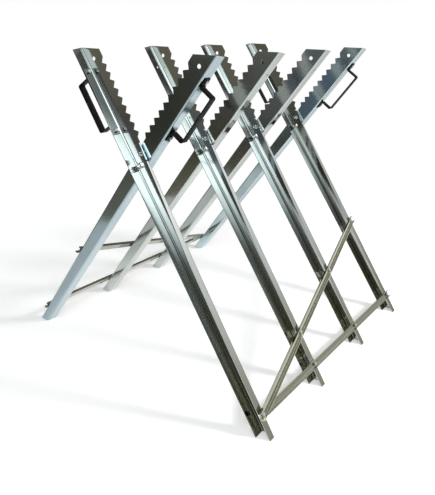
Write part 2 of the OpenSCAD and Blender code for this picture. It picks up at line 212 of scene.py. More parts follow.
class SheetFinish(bpy.types.PropertyGroup):
    """Galvanised sheet of the legs and braces."""

    leg_bright: FloatVectorProperty(
        name="Leg bright", description="Zinc colour where the leg sheet is cleanest",
        subtype="COLOR", size=3, min=0, max=1, default=(0.57, 0.585, 0.58))
    leg_dull: FloatVectorProperty(
        name="Leg dull", description="Zinc colour in the streaks along a leg",
        subtype="COLOR", size=3, min=0, max=1, default=(0.47, 0.48, 0.465))
    brace_bright: FloatVectorProperty(
        name="Brace bright", description="Zinc colour where the brace channel is cleanest",
        subtype="COLOR", size=3, min=0, max=1, default=(0.95, 0.95, 0.82))
    brace_dull: FloatVectorProperty(
        name="Brace dull", description="Zinc colour in the streaks along a brace",
        subtype="COLOR", size=3, min=0, max=1, default=(0.80, 0.80, 0.68))
    strip_bright: FloatVectorProperty(
        name="Strip bright", description="Zinc colour of the backing strips",
        subtype="COLOR", size=3, min=0, max=1, default=(0.17, 0.18, 0.18))
    strip_dull: FloatVectorProperty(
        name="Strip dull", description="Zinc colour in the streaks of the backing strips",
        subtype="COLOR", size=3, min=0, max=1, default=(0.12, 0.125, 0.125))
    spangle: FloatProperty(
        name="Spangle", description="Width of one zinc crystal on the sheet",
        subtype="DISTANCE", unit="LENGTH", min=0.001, max=0.05, default=0.009)
    streak: FloatProperty(
        name="Streak", description="Width of one rolling streak along the sheet",
        subtype="DISTANCE", unit="LENGTH", min=0.001, max=0.05, default=0.005)
    gloss_low: FloatProperty(
        name="Roughness low", description="Roughness of the shiniest sheet",
        subtype="FACTOR", min=0.02, max=1, default=0.07)
    gloss_high: FloatProperty(
        name="Roughness high", description="Roughness of the dullest sheet",
        subtype="FACTOR", min=0.02, max=1, default=0.13)
    brushing: FloatProperty(
        name="Brushing", description="How much more the sheet blurs across its length than along it",
        subtype="FACTOR", min=0, max=1, default=0.85)
    waviness: FloatProperty(
        name="Waviness", description="Height of the slow waves left in the folded sheet",
        subtype="DISTANCE", unit="LENGTH", min=0, max=0.01, default=0.0008)
    overbend: FloatProperty(
        name="Overbend", description="Angle by which the outer flange is folded past square at its top",
        subtype="ANGLE", unit="ROTATION", min=0, max=0.4, default=math.radians(10))
    overbend_low: FloatProperty(
        name="Low overbend",
        description="Angle by which the outer flange is folded past square below the handle",
        subtype="ANGLE", unit="ROTATION", min=0, max=0.4, default=math.radians(2))
    # Painted shade: how far the fold of a first leg below its handle is darkened towards black.
    crease_shade: FloatProperty(
        name="Crease", description="How dark the zinc is in the fold of a first leg below its handle",
        subtype="FACTOR", min=0, max=1, default=0.55)
    # Tint that makes the zinc of a first leg darker and yellower towards its foot.
    foot_tint: FloatVectorProperty(
        name="Foot stain", description="Tint of the zinc towards the foot of a first leg",
        subtype="COLOR", size=3, min=0, max=1, default=(0.86, 0.83, 0.74))
    web_lean: FloatProperty(
        name="Web lean", description="Angle by which the web of a first leg turns out of its frame",
        subtype="ANGLE", unit="ROTATION", min=0, max=0.2, default=math.radians(6))


class GripFinish(bpy.types.PropertyGroup):
    """Black coat of the strap handles."""

    coat: FloatVectorProperty(
        name="Coat", description="Colour of the black coat",
        subtype="COLOR", size=3, min=0, max=1, default=(0.004, 0.004, 0.0042))
    rubbed: FloatVectorProperty(
        name="Rubbed coat", description="Colour where hands have polished the coat",
        subtype="COLOR", size=3, min=0, max=1, default=(0.009, 0.009, 0.0095))
    grain: FloatProperty(
        name="Grain", description="Size of the coat's fine bumps",
        subtype="DISTANCE", unit="LENGTH", min=0.0002, max=0.01, default=0.0012)
    edge: FloatProperty(
        name="Edge rounding", description="Rounding of the strap's edges",
        subtype="DISTANCE", unit="LENGTH", min=0.0001, max=0.001, default=0.0004)


class FastenerSizes(bpy.types.PropertyGroup):
    """Bolts and nuts of the stand."""

    pivot_d: FloatProperty(
        name="Pivot thread", description="Thread diameter of the pivot and stop bolts",
        subtype="DISTANCE", unit="LENGTH", min=0.004, max=0.02, default=0.008)
    pivot_head: FloatProperty(
        name="Pivot head", description="Height of the pivot and stop bolts' heads",
        subtype="DISTANCE", unit="LENGTH", min=0.002, max=0.02, default=0.0053)
    pivot_pitch: FloatProperty(
        name="Pivot pitch", description="Thread pitch of the pivot and stop bolts",
        subtype="DISTANCE", unit="LENGTH", min=0.0005, max=0.003, default=0.00125)
    small_d: FloatProperty(
        name="Small thread", description="Thread diameter of the brace and handle bolts",
        subtype="DISTANCE", unit="LENGTH", min=0.003, max=0.012, default=0.006)
    small_head: FloatProperty(
        name="Small head", description="Height of the brace and handle bolts' heads",
        subtype="DISTANCE", unit="LENGTH", min=0.001, max=0.012, default=0.004)
    small_pitch: FloatProperty(
        name="Small pitch", description="Thread pitch of the brace and handle bolts",
        subtype="DISTANCE", unit="LENGTH", min=0.0005, max=0.003, default=0.001)
    ring_points: IntProperty(
        name="Ring points", description="Points round one bolt, a multiple of twelve",
        min=24, max=96, step=12, default=48)
    zinc: FloatVectorProperty(
        name="Zinc", description="Colour of the bright zinc plating",
        subtype="COLOR", size=3, min=0, max=1, default=(0.88, 0.89, 0.90))
    zinc_dull: FloatVectorProperty(
        name="Zinc dull", description="Colour where the plating has dulled",
        subtype="COLOR", size=3, min=0, max=1, default=(0.62, 0.61, 0.59))


class StudioSetup(bpy.types.PropertyGroup):
    """Floor, lamps and surroundings."""

    floor_color: FloatVectorProperty(
        name="Floor", description="Colour of the pale floor",
        subtype="COLOR", size=3, min=0, max=1, default=(0.82, 0.82, 0.82))
    floor_radius: FloatProperty(
        name="Floor radius", description="Reach of the floor round the stand",
        subtype="DISTANCE", unit="LENGTH", min=1, max=10, default=1.45)
    floor_lift: FloatProperty(
        name="Floor lift",
        description="Light the floor shows the camera, so that it runs into the white surround",
        min=0, max=1, default=0.36)
    key_power: FloatProperty(
        name="Key lamp", description="Power of the lamp behind on the right",
        subtype="POWER", unit="POWER", min=0, max=500, default=40)
    front_power: FloatProperty(
        name="Front lamp", description="Power of the wide lamp in front",
        subtype="POWER", unit="POWER", min=0, max=500, default=20)
    surround: FloatProperty(
        name="Surround", description="Strength of the surroundings as a light",
        min=0, max=2, default=1)
    window: FloatVectorProperty(
        name="Window", description="Light of the large window on the right",
        subtype="COLOR", size=3, min=0, max=8, default=(4.4, 4.75, 4.85))
    wall_top: FloatVectorProperty(
        name="Wall top", description="Light of the upper part of the wall behind",
        subtype="COLOR", size=3, min=0, max=4, default=(1.5, 1.5, 1.48))
    room_low: FloatVectorProperty(
        name="Low room", description="Colour of the ground beyond the floor",
        subtype="COLOR", size=3, min=0, max=1, default=(0.18, 0.168, 0.13))
    room_dark: FloatVectorProperty(
        name="Dark room", description="Colour of the room at eye height in front of the stand",
        subtype="COLOR", size=3, min=0, max=1, default=(0.055, 0.05, 0.036))
    room_pale: FloatVectorProperty(
        name="Pale room", description="Colour of the room high up in front of the stand",
        subtype="COLOR", size=3, min=0, max=1, default=(0.20, 0.20, 0.195))


def names_that_start(start):
    return sorted(n for n in NODES if n.startswith(start))


# Materials


def new_material(name):
    """An empty node material with its shader and output."""
    mat = bpy.data.materials.new(name)
    mat.use_nodes = True
    tree = mat.node_tree
    tree.nodes.clear()
    out = tree.nodes.new("ShaderNodeOutputMaterial")
    shader = tree.nodes.new("ShaderNodeBsdfPrincipled")
    tree.links.new(shader.outputs["BSDF"], out.inputs["Surface"])
    return mat, tree, shader


def mapped(tree, turn, scale):
    """Object coordinates turned so that Z runs along the piece, then stretched."""
    coord = tree.nodes.new("ShaderNodeTexCoord")
    turned = tree.nodes.new("ShaderNodeMapping")
    turned.inputs["Rotation"].default_value = turn
    stretched = tree.nodes.new("ShaderNodeMapping")
    stretched.inputs["Scale"].default_value = scale
    tree.links.new(coord.outputs["Object"], turned.inputs["Vector"])
    tree.links.new(turned.outputs["Vector"], stretched.inputs["Vector"])
    return stretched.outputs["Vector"]


def noise(tree, vector, scale, detail, rough):
    node = tree.nodes.new("ShaderNodeTexNoise")
    node.inputs["Scale"].default_value = scale
    node.inputs["Detail"].default_value = detail
    node.inputs["Roughness"].default_value = rough
    tree.links.new(vector, node.inputs["Vector"])
    return node.outputs["Fac"]


def crystals(tree, vector, scale):
    """One grey value for each crystal of a zinc coat."""
    cells = tree.nodes.new("ShaderNodeTexVoronoi")
    cells.inputs["Scale"].default_value = scale
    tree.links.new(vector, cells.inputs["Vector"])
    split = tree.nodes.new("ShaderNodeSeparateColor")
    tree.links.new(cells.outputs["Color"], split.inputs["Color"])
    return split.outputs["Red"]


def weigh(tree, value, gain, base):
    """value times gain plus base, where base is a number or another value."""
    node = tree.nodes.new("ShaderNodeMath")
    node.operation = "MULTIPLY_ADD"
    tree.links.new(value, node.inputs[0])
    node.inputs[1].default_value = gain
    if isinstance(base, (int, float)):
        node.inputs[2].default_value = base
    else:
        tree.links.new(base, node.inputs[2])
    return node.outputs["Value"]


def times(tree, first, second):
    node = tree.nodes.new("ShaderNodeMath")
    node.operation = "MULTIPLY"
    tree.links.new(first, node.inputs[0])
    tree.links.new(second, node.inputs[1])
    return node.outputs["Value"]


def spread(tree, value, span, to=RISING):
    """A value's run over a span of numbers, laid over another span and held at its ends."""
    node = tree.nodes.new("ShaderNodeMapRange")
    tree.links.new(value, node.inputs["Value"])
    for socket, number in zip(("From Min", "From Max", "To Min", "To Max"), (*span, *to)):
        node.inputs[socket].default_value = number
    return node.outputs["Result"]


def color_steps(tree, value, steps):
    """A colour ramp over a value, from a list of places and colours."""
    ramp = tree.nodes.new("ShaderNodeValToRGB")
    first, last = ramp.color_ramp.elements
    for element, (place, color) in ((first, steps[0]), (last, steps[-1])):
        element.position = place
        element.color = (*color, 1)
    for place, color in steps[1:-1]:
        ramp.color_ramp.elements.new(place).color = (*color, 1)
    tree.links.new(value, ramp.inputs["Fac"])
    return ramp.outputs["Color"]


def two_colors(tree, value, first, second):
    return color_steps(tree, value, ((0, first), (1, second)))


def mixed(tree, factor, first, second):
    """Two colours mixed by a factor, where a colour is an output or a fixed colour."""
    node = tree.nodes.new("ShaderNodeMix")
    node.data_type = "RGBA"
    tree.links.new(factor, node.inputs["Factor"])
    for index, color in zip(MIX_COLOR_INPUTS, (first, second)):
        if isinstance(color, bpy.types.NodeSocket):
            tree.links.new(color, node.inputs[index])
        else:
            node.inputs[index].default_value = (*color, 1)
    return node.outputs[MIX_COLOR_OUTPUT]


def bump(tree, height, strength, distance, under=None):
    node = tree.nodes.new("ShaderNodeBump")
    node.inputs["Strength"].default_value = strength
    node.inputs["Distance"].default_value = distance
    tree.links.new(height, node.inputs["Height"])
    if under is not None:
        tree.links.new(under, node.inputs["Normal"])
    return node.outputs["Normal"]


def tinted(color, tint):
    return [c * t for c, t in zip(color, tint)]


def leg_place(tree, web_y):
    """Coordinates in a first leg stood upright: X across from the pivot, Y out of the web, Z along it."""
    coord = tree.nodes.new("ShaderNodeTexCoord")
    moved = tree.nodes.new("ShaderNodeMapping")
    moved.vector_type = "TEXTURE"
    moved.inputs["Location"].default_value = (0, web_y, PIVOT_HEIGHT)
    moved.inputs["Rotation"].default_value = (0, -LEG_LEAN, 0)
    tree.links.new(coord.outputs["Object"], moved.inputs["Vector"])
    split = tree.nodes.new("ShaderNodeSeparateXYZ")
    tree.links.new(moved.outputs["Vector"], split.inputs["Vector"])
    return [split.outputs[k] for k in "XYZ"]


def width(span):
    return span[1] - span[0]


def overbent(tree, place, finish):
    """A normal for a first leg folded not quite square: its outer flange leans, and its web turns."""
    x, y, z = place
    slope = spread(tree, z, HANDLE_ALONG, (math.tan(finish.overbend_low), math.tan(finish.overbend)))
    reach = spread(tree, y, FLANGE_OUT, (width(FLANGE_OUT), 0))
    rise = times(tree, reach, spread(tree, x, FLANGE_ACROSS, FALLING))
    flange = bump(tree, times(tree, rise, slope), strength=1, distance=1)
    turned = spread(tree, x, TURNED_WEB_ACROSS)
    beyond = spread(tree, x, LEANING_WEB_ACROSS, (0, -width(LEANING_WEB_ACROSS)))
    web = weigh(tree, times(tree, turned, turned), -width(TURNED_WEB_ACROSS) / 2, beyond)
    return bump(tree, web, strength=1, distance=math.tan(finish.web_lean), under=flange)


def painted_crease_shade(tree, place, finish):
    """Painted shade: how far the colour is darkened towards black in the fold between web and flange, below
    the handle.
    """
    x, _, z = place
    near = times(tree, spread(tree, x, CREASE_START_ACROSS), spread(tree, x, CREASE_END_ACROSS, FALLING))
    return times(tree, near, spread(tree, z, CREASE_TOP_ALONG, (finish.crease_shade, 0)))


def galvanised(name, bright, dull, turn, finish, web_y=None):
    """Rolled and galvanised sheet: streaks along the piece, crystals and slow waves."""
    mat, tree, shader = new_material(name)
    place = None if web_y is None else leg_place(tree, web_y)
    fold = overbent(tree, place, finish) if place else None
    streaks = 1 / finish.streak
    marks = streaks * MARK_FINENESS
    plain = mapped(tree, turn, WHOLE)
    long_streaks = mapped(tree, turn, (streaks, streaks, streaks / STREAK_STRETCH))
    long_marks = mapped(tree, turn, (marks, marks, marks / MARK_STRETCH))
    streak = noise(tree, long_streaks, scale=1, detail=5, rough=0.6)
    mark = noise(tree, long_marks, scale=1, detail=2, rough=0.5)
    cloud = noise(tree, plain, scale=9, detail=3, rough=0.55)
    wave = noise(tree, plain, scale=5.5, detail=1, rough=0.4)
    spangle = crystals(tree, plain, 1 / finish.spangle)
    tone = weigh(tree, cloud, CLOUD_TONE, weigh(tree, streak, STREAK_TONE, BASE_TONE))
    tone = spread(tree, weigh(tree, spangle, SPANGLE_TONE, tone), PATTERN_SPAN)
    color = two_colors(tree, tone, dull, bright)
    if place:
        # Darker and yellower towards the foot of a first leg.
        foot_tinted = two_colors(tree, tone, tinted(dull, finish.foot_tint), tinted(bright, finish.foot_tint))
        color = mixed(tree, spread(tree, place[2], FOOT_ALONG, FALLING), color, foot_tinted)
        # Painted shade: the fold between web and flange is darkened towards black below the handle.
        color = mixed(tree, painted_crease_shade(tree, place, finish), color, BLACK)
    tree.links.new(color, shader.inputs["Base Color"])
    matt = weigh(tree, spangle, SPANGLE_ROUGHNESS, weigh(tree, cloud, CLOUD_ROUGHNESS, 0))
    rough = spread(tree, matt, PATTERN_SPAN, (finish.gloss_low, finish.gloss_high))
    tree.links.new(rough, shader.inputs["Roughness"])
    slow = bump(tree, wave, strength=1, distance=finish.waviness, under=fold)
    rolled = bump(tree, streak, strength=0.06, distance=0.0003, under=slow)
    brushed = bump(tree, mark, strength=0.06, distance=0.0001, under=rolled)
    tree.links.new(brushed, shader.inputs["Normal"])
    shader.inputs["Metallic"].default_value = 1
    shader.inputs["Anisotropic"].default_value = finish.brushing
    shader.inputs["Anisotropic Rotation"].default_value = QUARTER_TURN
    along = tree.nodes.new("ShaderNodeVectorTransform")
    along.vector_type = "VECTOR"
    along.convert_from = "OBJECT"
    along.convert_to = "WORLD"
    along.inputs["Vector"].default_value = Euler(turn).to_matrix().inverted() @ Vector((0, 0, 1))
    tree.links.new(along.outputs["Vector"], shader.inputs["Tangent"])
    return mat


def zinc_plate(sizes):
    """Bright zinc plating of bolts, nuts and washers."""
    mat, tree, shader = new_material("bright_zinc_plate")
    plain = mapped(tree, UNTURNED, WHOLE)
    cloud = noise(tree, plain, scale=260, detail=4, rough=0.6)
    grain = noise(tree, plain, scale=2600, detail=2, rough=0.5)
    color = two_colors(tree, spread(tree, cloud, span=(0.35, 0.65)), sizes.zinc_dull, sizes.zinc)
    rough = spread(tree, cloud, span=(0.3, 0.7), to=(0.16, 0.07))
    tree.links.new(color, shader.inputs["Base Color"])
    tree.links.new(rough, shader.inputs["Roughness"])
    tree.links.new(bump(tree, grain, strength=0.2, distance=0.00006), shader.inputs["Normal"])
    shader.inputs["Metallic"].default_value = 1
    return mat


def black_coat(finish):
    """Black coat of the handles: fine bumps, and a little polish in patches."""
    mat, tree, shader = new_material("black_grip_coat")
    plain = mapped(tree, UNTURNED, WHOLE)
    patch = noise(tree, plain, scale=70, detail=4, rough=0.6)
    grain = noise(tree, plain, scale=1 / finish.grain, detail=2, rough=0.5)
    color = two_colors(tree, spread(tree, patch, span=(0.45, 0.8)), finish.coat, finish.rubbed)
    rough = spread(tree, patch, span=(0.3, 0.7), to=(0.50, 0.36))
    tree.links.new(color, shader.inputs["Base Color"])
    tree.links.new(rough, shader.inputs["Roughness"])
    tree.links.new(bump(tree, grain, strength=0.35, distance=0.00012), shader.inputs["Normal"])
    shader.inputs["Specular IOR Level"].default_value = 0.1
    return mat


def dress(node, mat):
    """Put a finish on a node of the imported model."""
    slots = NODES[node].data.materials
    slots.clear()
    slots.append(mat)


# Pieces in mesh code


def islands(node):
    """The corners of each separate solid of a node, as lists of points."""
    bm = bmesh.new()
    bm.from_mesh(NODES[node].data)
    bmesh.ops.remove_doubles(bm, verts=bm.verts[:], dist=WELD)
    left = set(bm.verts)
    found = []
    for start in bm.verts:
        if start not in left:
            continue
        left.discard(start)
        todo = [start]
        points = []
        while todo:
            vert = todo.pop()
            points.append(vert.co.copy())
            for edge in vert.link_edges:
                other = edge.other_vert(vert)
                if other in left:
                    left.discard(other)
                    todo.append(other)
        found.append(points)
    bm.free()
    return found


def place_of(points, axis):
    """A frame on a solid's axis with X through its farthest corner, its two ends, and its two radii."""
    side = axis.orthogonal().normalized()
    other = axis.cross(side)
    flat = [(p.dot(side), p.dot(other), p.dot(axis)) for p in points]
    middle = [(min(c) + max(c)) / 2 for c in list(zip(*flat))[:2]]
    radii = [math.hypot(f[0] - middle[0], f[1] - middle[1]) for f in flat]
    heights = [f[2] for f in flat]
    corner = flat[radii.index(max(radii))]
    turn = math.atan2(corner[1] - middle[1], corner[0] - middle[0])
    x_axis = side * math.cos(turn) + other * math.sin(turn)
    y_axis = axis.cross(x_axis)
    matrix = Matrix((x_axis, y_axis, axis)).transposed().to_4x4()
    matrix.translation = side * middle[0] + other * middle[1]
    return matrix, min(heights), max(heights), min(radii), max(radii)


def hexagon(angle, flat_r):
    """Distance from the axis to a hexagon with a corner at angle zero."""
    return flat_r / math.cos((angle % (math.pi / 3)) - math.pi / 6)


def ring(count, radius, height):
    """One loop of points, where radius and height are numbers or rules of the angle."""
    loop = []
    for k in range(count):
        a = 2 * math.pi * k / count
        r = radius(a) if callable(radius) else radius
        h = height(a) if callable(height) else height
        loop.append(Vector((r * math.cos(a), r * math.sin(a), h)))
    return loop


def skin(bm, loops, matrix, closed):
    """Join loops into one surface, closed on itself or capped at both ends."""
    rows = [[bm.verts.new(matrix @ p) for p in loop] for loop in loops]
    pairs = list(zip(rows, rows[1:]))
    if closed:
        pairs.append((rows[-1], rows[0]))
    for low, high in pairs:
        for k in range(len(low)):
            m = (k + 1) % len(low)
            bm.faces.new((low[k], low[m], high[m], high[k]))
    if not closed:
        bm.faces.new(rows[0][::-1])
        bm.faces.new(rows[-1])


def hex_loops(count, corner_r, low, high, low_cut, high_cut):
    """Side of a hexagon between two faces, with the turned chamfer on the ends that are cut."""
    flat_r = corner_r * math.cos(math.pi / 6)
    face_r = flat_r * HEX_FACE_SHARE

    def cut(a):
        return (hexagon(a, flat_r) - face_r) * math.tan(HEX_CHAMFER)

    def side(a):
        return hexagon(a, flat_r)

    loops = []
    if low_cut:
        loops += [ring(count, face_r, low), ring(count, side, lambda a: low + cut(a))]
    else:
        loops += [ring(count, side, low)]
    if high_cut:
        loops += [ring(count, side, lambda a: high - cut(a)), ring(count, face_r, high)]
    else:
        loops += [ring(count, side, high)]
    return loops, face_r


def add_bolt(bm, points, axis, thread_d, head_h, pitch, count):
    """Hexagon bolt: chamfered head, plain shank and a rolled thread at the tail."""
    matrix, low, high, _, corner_r = place_of(points, axis)
    crest = thread_d / 2 - THREAD_PLAY
    depth = THREAD_DEPTH_PITCHES * pitch
    under = high - head_h
    run = min(THREAD_TURNS * pitch, (under - low) * THREAD_SHANK_SHARE)
    steps = int(run / pitch * THREAD_STEPS_PER_TURN)

    def thread(z):
        lead_in = (z - low) / (LEAD_IN_PITCHES * pitch) + LEAD_IN_START
        fade = max(0, min(1, (low + run - z) / pitch, lead_in))

        def rule(a):
            turn = (z / pitch - a / (2 * math.pi)) % 1
            return crest - depth * fade * (1 - abs(2 * turn - 1))

        return rule

    loops = [ring(count, thread_d / 2 - depth * TAIL_DEPTHS, low)]
    for k in range(1, steps):
        z = low + run * k / steps
        loops.append(ring(count, thread(z), z))
    loops += [ring(count, crest, low + run), ring(count, crest, under)]
    head, face_r = hex_loops(count, corner_r, under, high, low_cut=False, high_cut=True)
    loops += head
    loops.append(ring(count, face_r * DISH_SHARE, high - DISH_DEPTH))
    skin(bm, loops, matrix, closed=False)


def add_nut(bm, points, axis, thread_d, count):
    """Hexagon nut with both faces chamfered and a countersunk bore."""
    matrix, low, high, _, corner_r = place_of(points, axis)
    bore = thread_d / 2 + NUT_PLAY
    mouth = bore + COUNTERSINK
    sides, _ = hex_loops(count, corner_r, low, high, low_cut=True, high_cut=True)
    loops = [ring(count, bore, low + COUNTERSINK), ring(count, mouth, low)] + sides
    loops += [ring(count, mouth, high), ring(count, bore, high - COUNTERSINK)]
    skin(bm, loops, matrix, closed=True)


def add_washer(bm, points, axis, count):
    """Stamped washer or cut spacer with its edges broken."""
    matrix, low, high, bore, rim = place_of(points, axis)
    edge = min(BROKEN_EDGE, (high - low) * BROKEN_EDGE_SHARE)
    loops = [ring(count, bore, low + edge), ring(count, bore + edge, low), ring(count, rim - edge, low)]
    loops += [ring(count, rim, low + edge), ring(count, rim, high - edge), ring(count, rim - edge, high)]
    loops += [ring(count, bore + edge, high), ring(count, bore, high - edge)]
    skin(bm, loops, matrix, closed=True)


def piece_from(bm, name, mat, node, smooth_angle=FASTENER_SMOOTH):
    """Turn a built surface into a piece that stands for a node and rides on its body."""
    bmesh.ops.recalc_face_normals(bm, faces=bm.faces[:])
    mesh = bpy.data.meshes.new(name)
    bm.to_mesh(mesh)
    bm.free()
    for face in mesh.polygons:
        face.use_smooth = True
    mesh.set_sharp_from_angle(angle=smooth_angle)
    mesh.materials.append(mat)
    piece = bpy.data.objects.new(name, mesh)
    bpy.context.scene.collection.objects.link(piece)
    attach(piece, NODES[node]["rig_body"])
    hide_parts(node)


def zinc():
    """The one zinc finish, made when it is first asked for."""
    return bpy.data.materials.get("bright_zinc_plate") or zinc_plate(bpy.context.scene.stand_fasteners)


def make_bolts(node, axis, large):
    sizes = bpy.context.scene.stand_fasteners
    bm = bmesh.new()
    for points in islands(node):
        if large:
            add_bolt(bm, points, axis, sizes.pivot_d, sizes.pivot_head, sizes.pivot_pitch, sizes.ring_points)
        else:
            add_bolt(bm, points, axis, sizes.small_d, sizes.small_head, sizes.small_pitch, sizes.ring_points)
    piece_from(bm, "threaded_" + node, zinc(), node)


def make_nuts(node, axis, large):
    sizes = bpy.context.scene.stand_fasteners
    bm = bmesh.new()
    for points in islands(node):
        add_nut(bm, points, axis, sizes.pivot_d if large else sizes.small_d, sizes.ring_points)
    piece_from(bm, "chamfered_" + node, zinc(), node)


def make_washers(node, axis):
    bm = bmesh.new()
    for points in islands(node):
        add_washer(bm, points, axis, bpy.context.scene.stand_fasteners.ring_points)
    piece_from(bm, "stamped_" + node, zinc(), node)


def make_frame_bolts(kind):
    """One bolt with its nut, washer and spacer through each of the four frames."""
    make_bolts(kind + "_bolts", ACROSS_FRAMES, large=True)
    make_nuts(kind + "_nuts", ACROSS_FRAMES, large=True)
    make_washers(kind + "_washers", ACROSS_FRAMES)
    make_washers(kind + "_spacers", ACROSS_FRAMES)


# Stage


def stage_floor(setup):
    """A pale disc of floor that meets the white surround for the camera and keeps the shadows."""
    bm = bmesh.new()
    bmesh.ops.create_circle(bm, cap_ends=True, segments=FLOOR_POINTS, radius=setup.floor_radius)
    mesh = bpy.data.meshes.new("studio_floor")
    bm.to_mesh(mesh)
    bm.free()
    mat, tree, shader = new_material("pale_floor")
    shader.inputs["Base Color"].default_value = (*setup.floor_color, 1)
    shader.inputs["Roughness"].default_value = FLOOR_ROUGHNESS
    shader.inputs["Specular IOR Level"].default_value = 0
    shader.inputs["Emission Color"].default_value = (*WHITE, 1)
    path = tree.nodes.new("ShaderNodeLightPath")
    place = tree.nodes.new("ShaderNodeTexCoord")
    reach = tree.nodes.new("ShaderNodeVectorMath")
    reach.operation = "LENGTH"
    tree.links.new(place.outputs["Object"], reach.inputs[0])
    outside = (FLOOR_LIFT_START, setup.floor_radius)
    lift = spread(tree, reach.outputs["Value"], outside, (setup.floor_lift, FLOOR_RIM_LIFT))
    shown = times(tree, lift, path.outputs["Is Camera Ray"])
    under = spread(tree, reach.outputs["Value"], UNDER_STAND, UNDER_STAND_GLOW)
    mirrored = times(tree, under, path.outputs["Is Glossy Ray"])
    tree.links.new(weigh(tree, mirrored, 1, shown), shader.inputs["Emission Strength"])
    mesh.materials.append(mat)
    floor = bpy.data.objects.new("studio_floor", mesh)
    bpy.context.scene.collection.objects.link(floor)


def stage_lamp(name, place, target, size, power, color):
    """A round soft lamp that lights the stand without showing as a shape in the metal."""
    data = bpy.data.lights.new(name, "AREA")
    data.shape = "DISK"
    data.size = size
    data.energy = power
    data.color = color
    lamp = bpy.data.objects.new(name, data)
    lamp.location = place
    lamp.rotation_euler = (Vector(target) - Vector(place)).to_track_quat("-Z", "Y").to_euler()
    lamp.visible_glossy = False
    bpy.context.scene.collection.objects.link(lamp)


def room_in_front(tree, x, z, setup):
    """The dim half of the room: ground, dark at eye height, paler above, with a lit corner on the left."""
    low = setup.room_low
    dark = setup.room_dark
    front = color_steps(tree, spread(tree, z, span=(-1, 1)), (
        (0.30, GROUND_NEAR),
        (0.335, low),
        (0.365, low),
        (0.40, dark),
        (0.65, dark),
        (0.78, setup.room_pale),
    ))
    beside = color_steps(tree, spread(tree, x, span=(-1, 0)), (
        (0.38, dark),
        (0.46, (0.09, 0.086, 0.074)),
        (0.52, (0.12, 0.12, 0.115)),
        (0.60, (0.12, 0.16, 0.21)),
        (0.72, dark),
    ))
    corner = mixed(tree, spread(tree, z, HORIZON_Z), beside, HORIZON_GLOW)
    left = times(tree, spread(tree, x, CORNER_X, FALLING), spread(tree, z, CORNER_FOOT_Z))
    return mixed(tree, times(tree, left, spread(tree, z, CORNER_TOP_Z, FALLING)), front, corner)


def wall_behind(tree, x, z, setup):
    """The pale wall behind the stand, brightest above, with only its foot lit on the left."""
    right = color_steps(tree, z, (
        (0.0, (0.38, 0.38, 0.33)),
        (0.15, (0.60, 0.60, 0.57)),
        (0.25, (0.85, 0.86, 0.83)),
        (0.34, (1.0, 1.01, 1.0)),
        (0.42, setup.wall_top),
        (0.55, setup.wall_top),
        (0.66, setup.room_pale),
    ))
    left = mixed(tree, spread(tree, z, LOW_WALL_Z), LOW_LEFT_WALL, setup.room_pale)
    return mixed(tree, spread(tree, x, LEFT_WALL_X), left, right)


def stage_surround(setup):
    """White to the camera; to metal and floor a dim room, a pale wall behind and a window on the right."""
    world = bpy.data.worlds.new("studio_surround")
    world.use_nodes = True
    tree = world.node_tree
    tree.nodes.clear()
    coord = tree.nodes.new("ShaderNodeTexCoord")
    split = tree.nodes.new("ShaderNodeSeparateXYZ")
    tree.links.new(coord.outputs["Generated"], split.inputs["Vector"])
    x, y, z = (split.outputs[k] for k in "XYZ")
    room = room_in_front(tree, x, z, setup)
    wall = wall_behind(tree, x, z, setup)
    dim = mixed(tree, spread(tree, y, BEHIND_Y), room, wall)
    aside = weigh(tree, y, JAMB_SKEW, x)
    pane = color_steps(tree, weigh(tree, aside, PANE_SLANT, z), (
        (0.05, (0.22, 0.21, 0.165)),
        (0.12, (0.29, 0.285, 0.245)),
        (0.15, (0.39, 0.40, 0.38)),
        (0.185, (0.79, 0.85, 0.86)),
        (0.225, (1.8, 1.96, 2.0)),
        (0.265, (3.1, 3.38, 3.45)),
        (0.31, setup.window),
        (0.40, setup.window),
        (0.50, (1.6, 1.7, 1.7)),
    ))
    sides = times(tree, spread(tree, aside, JAMB_SPAN), spread(tree, y, AHEAD_Y, FALLING))
    ends = times(tree, spread(tree, z, SILL_Z), spread(tree, z, LINTEL_Z, FALLING))
    shine = mixed(tree, times(tree, sides, ends), dim, pane)
    seen = tree.nodes.new("ShaderNodeBackground")
    seen.inputs["Color"].default_value = (*WHITE, 1)
    seen.inputs["Strength"].default_value = 1
    lit = tree.nodes.new("ShaderNodeBackground")
    lit.inputs["Strength"].default_value = setup.surround
    tree.links.new(shine, lit.inputs["Color"])
    path = tree.nodes.new("ShaderNodeLightPath")
    pick = tree.nodes.new("ShaderNodeMixShader")
    tree.links.new(path.outputs["Is Camera Ray"], pick.inputs["Fac"])
    tree.links.new(lit.outputs["Background"], pick.inputs[1])
    tree.links.new(seen.outputs["Background"], pick.inputs[2])
    out = tree.nodes.new("ShaderNodeOutputWorld")
    tree.links.new(pick.outputs["Shader"], out.inputs["Surface"])
    bpy.context.scene.world = world


def stage_camera():
    """The camera in front on the right, a little above the stand and tilted down at it."""
    az = math.radians(CAMERA_AZIMUTH)
    el = math.radians(CAMERA_TILT)
    roll = math.radians(CAMERA_ROLL)
    ahead = Vector((-math.sin(az) * math.cos(el), math.cos(az) * math.cos(el), -math.sin(el)))
    right = Vector((math.cos(az), math.sin(az), 0))
    up = right.cross(ahead)
    turned_right = right * math.cos(roll) + up * math.sin(roll)
    turned_up = up * math.cos(roll) - right * math.sin(roll)
    data = bpy.data.cameras.new("view")
    data.sensor_fit = "VERTICAL"
    data.sensor_height = CAMERA_SENSOR
    data.lens = CAMERA_LENS
    data.shift_x, data.shift_y = CAMERA_SHIFT
    camera = bpy.data.objects.new("view", data)
    matrix = Matrix((turned_right, turned_up, -ahead)).transposed().to_4x4()
    matrix.translation = CAMERA_PLACE
    camera.matrix_world = matrix
    bpy.context.scene.collection.objects.link(camera)
    bpy.context.scene.camera = camera


# Operators


